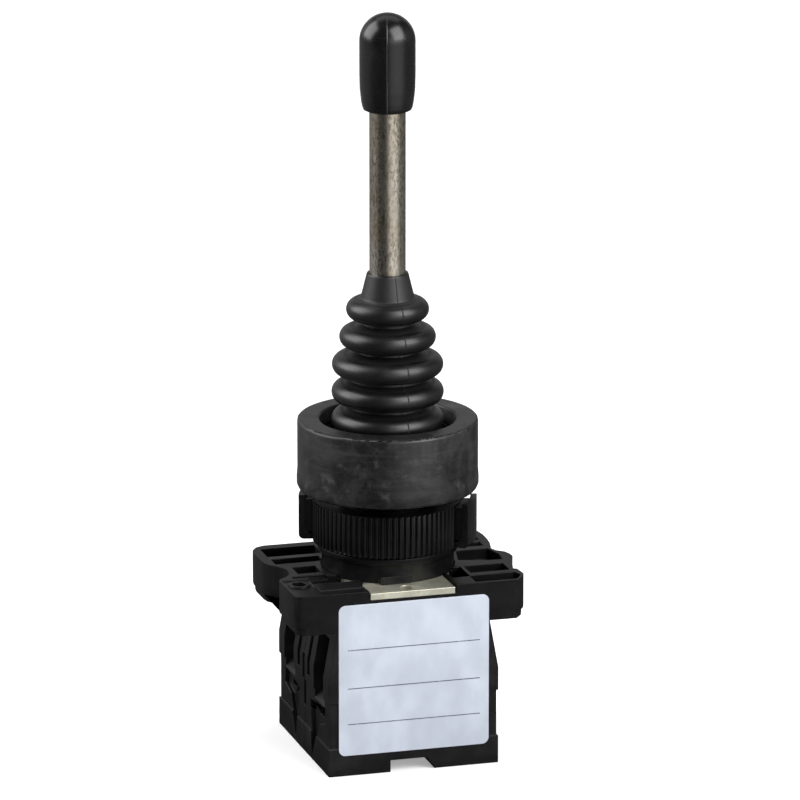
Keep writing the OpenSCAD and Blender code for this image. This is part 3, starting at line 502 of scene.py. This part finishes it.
def put_mesh(name, grid, wrap_u, wrap_v):
    """A mesh of quads over a grid of points (u, v, xyz). A wrapped direction joins its ends."""
    rows, columns = grid.shape[:2]
    u = np.arange(rows if wrap_u else rows - 1)
    v = np.arange(columns if wrap_v else columns - 1)
    a = (u[:, None] * columns + v[None, :])
    b = (((u + 1) % rows)[:, None] * columns + v[None, :])
    c = (((u + 1) % rows)[:, None] * columns + ((v + 1) % columns)[None, :])
    d = (u[:, None] * columns + ((v + 1) % columns)[None, :])
    quads = np.stack([a, b, c, d], axis=2).reshape(-1, 4)
    mesh = bpy.data.meshes.new(name)
    mesh.vertices.add(rows * columns)
    mesh.vertices.foreach_set("co", grid.astype(np.float32).ravel())
    mesh.loops.add(quads.size)
    mesh.loops.foreach_set("vertex_index", quads.astype(np.int32).ravel())
    mesh.polygons.add(len(quads))
    mesh.polygons.foreach_set("loop_start", np.arange(0, quads.size, 4, dtype=np.int32))
    mesh.update(calc_edges=True)
    mesh.validate()
    return mesh


def put_object(name, mesh, body, material, sharp=40):
    """Closes the mesh's poles, turns its faces outwards and hangs it on a body."""
    shell = bmesh.new()
    shell.from_mesh(mesh)
    bmesh.ops.remove_doubles(shell, verts=shell.verts, dist=1e-8)
    bmesh.ops.recalc_face_normals(shell, faces=shell.faces)
    if shell.calc_volume(signed=True) < 0:
        bmesh.ops.reverse_faces(shell, faces=shell.faces)
    shell.to_mesh(mesh)
    shell.free()
    mesh.polygons.foreach_set("use_smooth", np.ones(len(mesh.polygons), dtype=bool))
    mesh.set_sharp_from_angle(angle=math.radians(sharp))
    mesh.materials.append(material)
    piece = bpy.data.objects.new(name, mesh)
    bpy.context.scene.collection.objects.link(piece)
    if body:
        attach(piece, body)
    return piece


def by_length(radius, height, count):
    """The same line with count points, closer where it bends: even steps of length plus bend."""
    step = np.hypot(np.diff(radius), np.diff(height))
    slope = np.unwrap(np.arctan2(np.diff(height), np.diff(radius)))
    bend = np.abs(np.diff(slope, prepend=slope[0]))
    along = np.concatenate([[0], np.cumsum(step + 0.35 * MM * np.minimum(bend, 0.6))])
    at = np.linspace(0, along[-1], count)
    return np.interp(at, along, radius), np.interp(at, along, height)


def turns_with_seams(count, seams, radius):
    """Even directions round the axis, with close ones at each seam."""
    even = np.linspace(-math.pi, math.pi, count, endpoint=False)
    close = [s + np.linspace(-0.45, 0.45, 15) * MM / radius for s in seams]
    return np.unique(np.round(np.concatenate([even, *close]), 7))


def revolve(radius, height, turns):
    """A line turned round the axis: (r cos a, r sin a, z), with r given for each turn or for all."""
    a = turns[:, None]
    r = np.broadcast_to(radius, (len(turns), len(height)))
    return np.stack([r * np.cos(a), r * np.sin(a), np.broadcast_to(height, r.shape)], axis=2)


def seam_bell(turns, seams, radius, width):
    """A bell across each seam: exp(-(distance along the surface / width) squared)."""
    away = [np.abs((turns - s + math.pi) % (2 * math.pi) - math.pi) for s in seams]
    return np.exp(-(np.min(away, axis=0) * radius / width) ** 2)


def eased(node, width, material, angle=30, segments=2):
    """A copy of a solid with rounded edges: triangles joined, flat faces merged, then a Bevel."""
    source = frame["nodes"][node]
    shell = bmesh.new()
    shell.from_mesh(source.data)
    bmesh.ops.remove_doubles(shell, verts=shell.verts, dist=1e-6)
    bmesh.ops.dissolve_limit(
        shell, angle_limit=math.radians(0.4), verts=shell.verts, edges=shell.edges)
    mesh = bpy.data.meshes.new(node + "_finished")
    shell.to_mesh(mesh)
    shell.free()
    mesh.polygons.foreach_set("use_smooth", np.ones(len(mesh.polygons), dtype=bool))
    mesh.set_sharp_from_angle(angle=math.radians(angle))
    mesh.materials.append(material)
    piece = bpy.data.objects.new(node + "_finished", mesh)
    bpy.context.scene.collection.objects.link(piece)
    bevel = piece.modifiers.new("Rounded edges", "BEVEL")
    bevel.width, bevel.segments = width, segments
    bevel.limit_method, bevel.angle_limit = "ANGLE", math.radians(angle)
    bevel.use_clamp_overlap = False
    bevel.harden_normals = True
    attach(piece, source["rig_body"])
    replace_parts(piece, node)
    return piece


def dress(nodes, material):
    """Gives solids that stay as they are their finish."""
    for node in nodes:
        solid = frame["nodes"][node]
        solid.data.materials.clear()
        solid.data.materials.append(material)


# ---------------------------------------------------------------- pieces


def soft_max(values, blend):
    """The largest of several curves, with the corners between them filled by that much."""
    values = np.asarray(values)
    top = values.max(axis=0)
    return top + blend * np.log(np.exp((values - top) / blend).sum(axis=0))


def make_bellows(sizes, colours):
    """Five rounded folds on a stepped trunk, turned round the lever.

    The outer line is the soft maximum of the folds' circles, r = R - f + sqrt(f f - (z - c) (z - c)), and of
    a trunk that slopes in from each fold to a valley under the next. The inner line is the same, one wall
    further in. A mould seam stands out on both sides.
    """
    low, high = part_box("bellows")
    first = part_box("bezel")[1].z - 0.3 * MM
    radii = np.array(sizes.fold_radii)
    centres = first + sizes.fold_pitch * np.arange(5)
    rod = (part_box("lever_rod")[1].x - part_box("lever_rod")[0].x) / 2
    cuff = centres[-1] + 2.65 * MM
    flange, lip = high.x, 0.27 * MM
    z = np.linspace(low.z + 1.05 * MM, high.z, 6000)

    valley = np.maximum(np.minimum(radii[:-1], radii[1:]) - sizes.fold_depth, rod + 1.5 * MM)
    line_z, line_r = [centres[0] - 3 * MM], [radii[0] - 2 * MM]
    for i, centre in enumerate(centres):
        foot = centre - sizes.fold_round
        if i:
            line_z += [foot - 0.30 * MM, foot + 0.04 * MM]
            line_r += [valley[i - 1], radii[i] - sizes.fold_round]
        line_z += [centre + 0.70 * sizes.fold_round]
        line_r += [radii[i] - 0.52 * sizes.fold_round]
        if i < 4:
            line_z += [centres[i + 1] - sizes.fold_round - 1.10 * MM]
            line_r += [valley[i]]
    line_z += [cuff, high.z]
    line_r += [rod + 1.95 * MM, rod + 0.55 * MM]

    line = np.interp(z, line_z, line_r)
    window = np.hanning(75) / np.hanning(75).sum()
    line = np.convolve(np.pad(line, 37, "edge"), window, "valid")

    def wall(shift, blend):
        lines = [line - shift]
        for radius, centre in zip(radii, centres):
            r = sizes.fold_round - shift
            reach = np.maximum(r * r - (z - centre) ** 2, 0)
            lines.append(np.where(reach > 0, radius - sizes.fold_round + np.sqrt(reach), 0))
        return soft_max(lines, blend)

    outer = wall(0.0, 0.07 * MM)
    outer = np.where(z < centres[0], np.maximum(outer, radii[0] - 1.3 * MM), outer)
    outer = np.minimum(outer, radii.max())
    inner = wall(sizes.rubber_wall, 0.06 * MM)
    inner = np.where(z > cuff - 1.2 * MM, rod + 0.04 * MM, np.minimum(inner, outer - 0.5 * MM))
    outer_r, outer_z = by_length(outer, z, 330)
    keep = outer_z < high.z - lip
    flange_r = [flange - 0.2 * MM, flange, flange, flange - 0.2 * MM, radii[0] - 0.9 * MM]
    flange_z = [low.z, low.z + 0.2 * MM, low.z + 0.8 * MM, low.z + MM, low.z + MM]
    lip_r = [rod + 0.58 * MM, rod + 0.42 * MM, rod + 0.2 * MM]
    lip_z = [high.z - 0.2 * MM, high.z - 0.04 * MM, high.z]
    outer_r = np.concatenate([flange_r, outer_r[keep], lip_r])
    outer_z = np.concatenate([flange_z, outer_z[keep], lip_z])
    inner_r, inner_z = by_length(inner[::-1], z[::-1], 110)
    inner_r = np.concatenate([inner_r, [radii[0] - 2.1 * MM]])
    inner_z = np.concatenate([inner_z, [low.z]])
    radius, height = np.concatenate([outer_r, inner_r]), np.concatenate([outer_z, inner_z])
    seams = [sizes.seam_turn, sizes.seam_turn + math.pi]
    turns = turns_with_seams(sizes.rounds, seams, 0.012)
    bell = seam_bell(turns, seams, 0.011, 0.11 * MM)
    proud = (np.arange(len(radius)) > 6) & (np.arange(len(radius)) < len(outer_r) - 3)
    crest = np.interp(height, z, outer)
    lift = np.where(proud & (radius < radii.max() - sizes.seam_height), sizes.seam_height, 0)
    grid = revolve(radius[None, :] + bell[:, None] * lift[None, :], height, turns)
    mesh = put_mesh("bellows_rubber", grid, True, True)
    low_r = np.interp(height, centres, radii) - 1.9 * MM
    valley = np.where(proud, np.clip((low_r - crest) / (0.5 * MM) + 0.5, 0, 1), 0)
    # The seam mask also paints the seam darker in the rubber's finish: painted shade.
    marks = {
        "valley": np.broadcast_to(valley, grid.shape[:2]),
        "seam": np.where(proud, 1, 0) * bell[:, None] ** 2}
    for name, values in marks.items():
        layer = mesh.attributes.new(name, "FLOAT", "POINT")
        layer.data.foreach_set("value", np.ascontiguousarray(values, dtype=np.float32).ravel())
    piece = put_object("bellows_rubber", mesh, None, rubber_finish(colours), 85)
    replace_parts(piece, "bellows")
    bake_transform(piece)
    return piece


def make_knob(sizes, colours):
    """A domed grip with a raised mould seam on both sides, turned round the lever.

    Its side follows the solid's own outline, its dome is r = R cos t, z = dome + R sin t.
    """
    low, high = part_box("knob")
    points = np.array([v.co for v in frame["nodes"]["knob"].data.vertices], float)
    reach = np.hypot(points[:, 0], points[:, 1])
    bore = (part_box("lever_rod")[1].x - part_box("lever_rod")[0].x) / 2 + 0.1 * MM
    outside = reach > bore
    order = np.argsort(points[outside, 2])
    z, first = np.unique(np.round(points[outside, 2][order], 7), return_index=True)
    r = reach[outside][order][first]
    knob_r = high.x
    dome = high.z - knob_r
    side = (z > low.z + 0.2 * MM) & (z < dome - 0.1 * MM)
    tilt = np.linspace(0, math.pi / 2, 40)
    r = np.concatenate([[bore + 0.4 * MM, knob_r - 1.55 * MM], r[side], knob_r * np.cos(tilt)])
    z = np.concatenate([[low.z, low.z + 0.02 * MM], z[side], dome + knob_r * np.sin(tilt)])
    dense = np.linspace(0, 1, 3000)
    length = np.concatenate([[0], np.cumsum(np.hypot(np.diff(r), np.diff(z)))])
    r, z = np.interp(dense * length[-1], length, r), np.interp(dense * length[-1], length, z)
    kernel = np.hanning(61) / np.hanning(61).sum()
    smooth = np.convolve(np.pad(r, 30, "edge"), kernel, "valid")
    ease = np.clip((dome - z) / (2 * MM), 0, 1) * np.clip((z - low.z) / (0.4 * MM), 0, 1)
    r = r + (smooth - r) * ease
    r, z = by_length(r, z, 150)
    r[-1] = 0
    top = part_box("lever_rod")[1].z
    inside_r = np.array([0, bore - 0.1 * MM, bore - 0.1 * MM, bore])
    inside_z = np.array([top, top, low.z + 0.4 * MM, low.z])
    radius, height = np.concatenate([inside_r, r]), np.concatenate([inside_z, z])
    seams = [sizes.knob_seam_turn, sizes.knob_seam_turn + math.pi]
    turns = turns_with_seams(sizes.rounds, seams, knob_r)
    bell = seam_bell(turns, seams, knob_r, 0.13 * MM)
    fade = np.clip((radius - 0.6 * MM) / (2.5 * MM), 0, 1) * (np.arange(len(radius)) > 4)
    room = np.minimum(sizes.seam_height, np.maximum(knob_r - radius, 0) + 0.25 * sizes.seam_height)
    radius_all = radius[None, :] + bell[:, None] * (fade * room)[None, :]
    grid = revolve(radius_all, height, turns)
    mesh = put_mesh("knob_grip", grid, True, False)
    # The seam mask also paints a highlight along the seam in the knob's finish.
    layer = mesh.attributes.new("seam", "FLOAT", "POINT")
    layer.data.foreach_set("value", (bell[:, None] ** 2 * fade[None, :]).astype(np.float32).ravel())
    piece = put_object("knob_grip", mesh, "lever", knob_finish(colours))
    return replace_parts(piece, "knob")


def make_ear_web(name, turn, sizes, material):
    """A web between the ring nut and the wall of one of its ears.

    At each angle t, |t - turn| <= web_half, its section is a rectangle between the two radii; the first and
    last sections close on their centres.
    """
    nut_low, nut_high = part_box("ring_nut")
    inner, outer = sizes.web_radii
    low, high = nut_low.z + sizes.web_foot, nut_high.z - sizes.web_top
    turns = turn + sizes.web_half * np.concatenate([[-1], np.linspace(-1, 1, 13), [1]])
    radius = np.tile(np.array([inner, outer, outer, inner]), (len(turns), 1))
    height = np.tile(np.array([low, low, high, high]), (len(turns), 1))
    radius[[0, -1]], height[[0, -1]] = (inner + outer) / 2, (low + high) / 2
    grid = np.stack([radius * np.cos(turns)[:, None], radius * np.sin(turns)[:, None], height], axis=2)
    body = frame["nodes"]["ring_nut"]["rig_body"]
    put_object(name, put_mesh(name, grid, False, True), body, material)


# ---------------------------------------------------------------- studio


def aim(thing, place, target):
    """Puts a lamp at a place and turns it towards a target."""
    thing.location = place
    thing.rotation_mode = "QUATERNION"
    thing.rotation_quaternion = (Vector(target) - Vector(place)).to_track_quat("-Z", "Y")


def lamp(name, place, target, size, power):
    """A rectangular soft light."""
    data = bpy.data.lights.new(name, "AREA")
    data.shape, data.size, data.size_y = "RECTANGLE", size[0], size[1]
    data.energy = power
    made = bpy.data.objects.new(name, data)
    bpy.context.scene.collection.objects.link(made)
    aim(made, place, target)


def make_floor(colour):
    """A wide flat floor that shows white to the camera and keeps the switch's shadow. To mirrored rays its
    lit colour is nearly black, and it glows there with a painted reflection of the room's soft sides that
    fades out near the switch as painted shade.
    """
    span = np.linspace(-6, 6, 25)
    x, y = np.meshgrid(span, span, indexing="ij")
    mesh = put_mesh("floor", np.stack([x, y, np.zeros_like(x)], axis=2), False, False)
    f = Finish("Pale floor", Specular_IOR_Level=0.0, Roughness=0.9)
    camera, mirrored = f.rays()
    paint = f.mix(f.noise(0.6, 2, 0.5), scaled(colour, 0.99), scaled(colour, 1.01))
    # Painted shade: the painted reflection in the floor fades out within 0.42 m of the switch.
    away = f.node("ShaderNodeVectorMath", {"operation": "LENGTH"}, {0: f.place}, "Value").ramp(0.01, 0.42)
    # Even white to the camera; to mirrored rays, a painted reflection of the room's soft sides.
    white_and_painted_reflection = camera * ROOM_LIGHT + mirrored * (f.room_level(f.place, -1.0, 1.0) * away)
    white_and_painted_reflection_colour = f.node(
        "ShaderNodeVectorMath", {"operation": "SCALE"}, {0: (1.0, 1.0, 1.0), "Scale": white_and_painted_reflection}, "Vector")
    f.shader.inputs["Emission Strength"].default_value = 1.0
    # To mirrored rays the floor's colour is nearly black, so they see only the painted reflection.
    f.feed(Base_Color=f.mix(mirrored, paint, scaled(colour, 0.05)), Emission_Color=white_and_painted_reflection_colour)
    mesh.materials.append(f.material)
    floor = bpy.data.objects.new("floor", mesh)
    bpy.context.scene.collection.objects.link(floor)


def make_world():
    """The room: white to the camera, soft sides where it is mirrored, dimmer where it lights."""
    world = bpy.data.worlds.new("Studio room")
    bpy.context.scene.world = world
    world.use_nodes = True
    room = Graph(world.node_tree)
    background = next(n for n in room.tree.nodes if n.type == "BACKGROUND")
    background.inputs["Color"].default_value = (1, 1, 1, 1)
    camera, mirrored = room.rays()
    towards = room.node("ShaderNodeTexCoord", {}, {}, "Generated")
    seen = room.room_level(towards, 0.22, 0.62)
    level = camera + mirrored * seen + (1 - (camera + mirrored).with_min(1.0)) * ROOM_LIGHT
    room.tree.links.new(level.socket, background.inputs["Strength"])


def make_camera():
    """A long lens from the front left, a little above the lever, level with its horizon."""
    data = bpy.data.cameras.new("Camera")
    data.sensor_width = 36
    data.lens = CAMERA_LENS
    data.clip_start, data.clip_end = 0.05, 20
    camera = bpy.data.objects.new("Camera", data)
    bpy.context.scene.collection.objects.link(camera)
    turn, away = CAMERA_TURN, CAMERA_AWAY
    facing = turn + CAMERA_YAW
    level, drop = math.cos(CAMERA_PITCH), math.sin(CAMERA_PITCH)
    ahead = Vector((math.sin(facing) * level, math.cos(facing) * level, -drop))
    right = Vector((math.cos(facing), -math.sin(facing), 0))
    up = right.cross(ahead)
    camera.matrix_world = Matrix((
        (right.x, up.x, -ahead.x, -away * math.sin(turn)),
        (right.y, up.y, -ahead.y, -away * math.cos(turn)),
        (right.z, up.z, -ahead.z, away * math.tan(CAMERA_RISE) + CAMERA_TARGET),
        (0, 0, 0, 1)))
    bpy.context.scene.camera = camera


# ---------------------------------------------------------------- operators


class PieceOperator:
    """What the operators share: the sizes and colours, and a result that can't be cancelled."""

    bl_options = {"REGISTER", "UNDO"}

    def execute(self, context):
        self.make(context.scene.joystick_sizes, context.scene.joystick_colours)
        return {"FINISHED"}


class JOYSTICK_OT_lever(PieceOperator, Operator):
    """Makes the knob and finishes the rod"""

    bl_idname = "joystick.lever"
    bl_label = "Knob and rod"

    def make(self, sizes, colours):
        make_knob(sizes, colours)
        eased("lever_rod", sizes.edge, nickel_finish(colours))


class JOYSTICK_OT_bellows(PieceOperator, Operator):
    """Makes the rubber bellows"""

    bl_idname = "joystick.bellows"
    bl_label = "Bellows"

    def make(self, sizes, colours):
        make_bellows(sizes, colours)


class JOYSTICK_OT_head(PieceOperator, Operator):
    """Finishes the bezel, the head body and its gasket"""

    bl_idname = "joystick.head"
    bl_label = "Head"

    def make(self, sizes, colours):
        eased("bezel", sizes.bezel_edge, bezel_finish(colours), segments=4)
        moulding = moulding_finish("Head moulding", tuple(colours.moulding), dust=0.3)
        eased("head_body", sizes.edge, moulding)
        rubber = moulding_finish("Gasket rubber", scaled(colours.rubber, 1.3), 2.0, 0.4, 0.3, 0.62)
        dress(["panel_gasket"], rubber)
        dress(["bellows_clamp_ring"], moulding)


class JOYSTICK_OT_nut(PieceOperator, Operator):
    """Finishes the knurled ring nut"""

    bl_idname = "joystick.nut"
    bl_label = "Ring nut"

    def make(self, sizes, colours):
        moulding = moulding_finish("Nut moulding", scaled(colours.moulding, 0.9), 0.8, 0.35, 0.3, 0.36)
        eased("ring_nut", sizes.tooth_edge, moulding, angle=35)
        make_ear_web("right_ear_web", sizes.ear_turn, sizes, moulding)
        make_ear_web("left_ear_web", sizes.ear_turn + math.pi, sizes, moulding)


class JOYSTICK_OT_base(PieceOperator, Operator):
    """Finishes the mounting base, its collar and the clamp plate"""

    bl_idname = "joystick.base"
    bl_label = "Mounting base"

    def make(self, sizes, colours):
        moulding = moulding_finish("Base moulding", tuple(colours.moulding), 1.0, 0.45, 0.17, 0.38)
        eased("mounting_base", sizes.edge, moulding, segments=3)
        eased("stem_collar", sizes.edge, moulding)
        zinc = plated_finish("Zinc plated plate", tuple(colours.zinc), 0.36)
        eased("clamp_plate", sizes.edge, zinc)


class JOYSTICK_OT_blocks(PieceOperator, Operator):
    """Finishes the housings and covers of the two contact blocks"""

    bl_idname = "joystick.blocks"
    bl_label = "Contact blocks"

    def make(self, sizes, colours):
        shell = moulding_finish("Block moulding", scaled(colours.moulding, 1.15), 1.0, 0.5, 0.28, 0.42)
        cover = moulding_finish("Cover moulding", scaled(colours.moulding, 2.6), 1.0, 0.3, 0.28, 0.5)
        for side in ("front", "rear"):
            eased(side + "_block_housing", sizes.edge, shell)
            dress([side + "_block_cover"], cover)


class JOYSTICK_OT_label(PieceOperator, Operator):
    """Finishes the bare metallised label"""

    bl_idname = "joystick.label"
    bl_label = "Label"

    def make(self, sizes, colours):
        eased("label_plate", sizes.label_edge, foil_finish(colours, sizes))


class JOYSTICK_OT_works(PieceOperator, Operator):
    """Finishes the works inside: pivot, detent, springs, plungers, contacts and terminals"""

    bl_idname = "joystick.works"
    bl_label = "Works inside"

    def make(self, sizes, colours):
        steel = plated_finish("Drawn steel", (0.58, 0.58, 0.58), 0.28, 1.0, 0.2)
        spring = plated_finish("Spring steel", (0.42, 0.42, 0.43), 0.30, 1.0, 0.3)
        zinc = plated_finish("Zinc plated screws", tuple(colours.zinc), 0.33)
        brass = plated_finish("Contact brass", tuple(colours.brass), 0.30, 1.0, 0.3)
        ivory = moulding_finish("Ivory moulding", tuple(colours.ivory), 0.8, 0.0, 0.5, 0.42)
        red = moulding_finish("Red moulding", tuple(colours.red), 0.8, 0.1, 0.45, 0.40)
        dress(["pivot_pin", "detent_ball", "lever_hub"], steel)
        dress(["detent_spring", "stem_snap_ring", "hub_roll_pin"], spring)
        dress(["guide_insert"], ivory)
        dress(["block_screws"], zinc)
        for side in ("front", "rear"):
            dress([side + "_push_rod"], steel)
            dress([side + "_return_spring", side + "_contact_springs"], spring)
            dress([side + "_wire_clamps", side + "_terminal_screws"], zinc)
            dress([side + "_fixed_contacts", side + "_contact_bridges"], brass)
            dress([side + "_contact_carrier"], red)


class JOYSTICK_OT_stage(PieceOperator, Operator):
    """Sets up the floor, the room, the soft lamps and the camera"""

    bl_idname = "joystick.stage"
    bl_label = "Studio"

    def make(self, sizes, colours):
        make_floor(tuple(colours.floor))
        make_world()
        for name, turn, rise, away, size, power in (
                ("Soft box right", 52, 38, 1.1, (0.90, 0.95), 15.0),
                ("Soft box left", -97, 34, 1.1, (0.95, 0.95), 13.0),
                ("Soft box top", 178, 60, 1.3, (1.3, 0.7), 2.5)):
            target = Vector((0, 0, 0.08))
            place = target + away * Vector(heading(math.radians(turn), math.radians(rise)))
            lamp(name, place, target, size, power * colours.lamp_level)
        make_camera()
        bpy.context.scene.view_settings.view_transform = "Standard"


class JOYSTICK_PT_panel(Panel):
    """Lists the sizes, the colours and the operators"""

    bl_label = "Joystick switch"
    bl_space_type = "VIEW_3D"
    bl_region_type = "UI"
    bl_category = "Joystick"

    def draw(self, context):
        for group in (context.scene.joystick_sizes, context.scene.joystick_colours):
            box = self.layout.box()
            for name in group.bl_rna.properties.keys():
                if name not in ("rna_type", "name"):
                    box.prop(group, name)
        for operator in OPERATORS:
            self.layout.operator(operator.bl_idname)


OPERATORS = (
    JOYSTICK_OT_stage, JOYSTICK_OT_lever, JOYSTICK_OT_bellows, JOYSTICK_OT_head, JOYSTICK_OT_nut,
    JOYSTICK_OT_base, JOYSTICK_OT_blocks, JOYSTICK_OT_label, JOYSTICK_OT_works)
CLASSES = (JoystickSizes, JoystickColours, *OPERATORS, JOYSTICK_PT_panel)


def register():
    """Adds the classes and the scene's two groups of settings."""
    for made in CLASSES:
        bpy.utils.register_class(made)
    bpy.types.Scene.joystick_sizes = PointerProperty(type=JoystickSizes)
    bpy.types.Scene.joystick_colours = PointerProperty(type=JoystickColours)


def unregister():
    """Takes them away again."""
    del bpy.types.Scene.joystick_colours
    del bpy.types.Scene.joystick_sizes
    for made in reversed(CLASSES):
        bpy.utils.unregister_class(made)


def main():
    register()
    for operator in OPERATORS:
        group, name = operator.bl_idname.split(".")
        getattr(getattr(bpy.ops, group), name)()


if __name__ == "__main__":
    main()
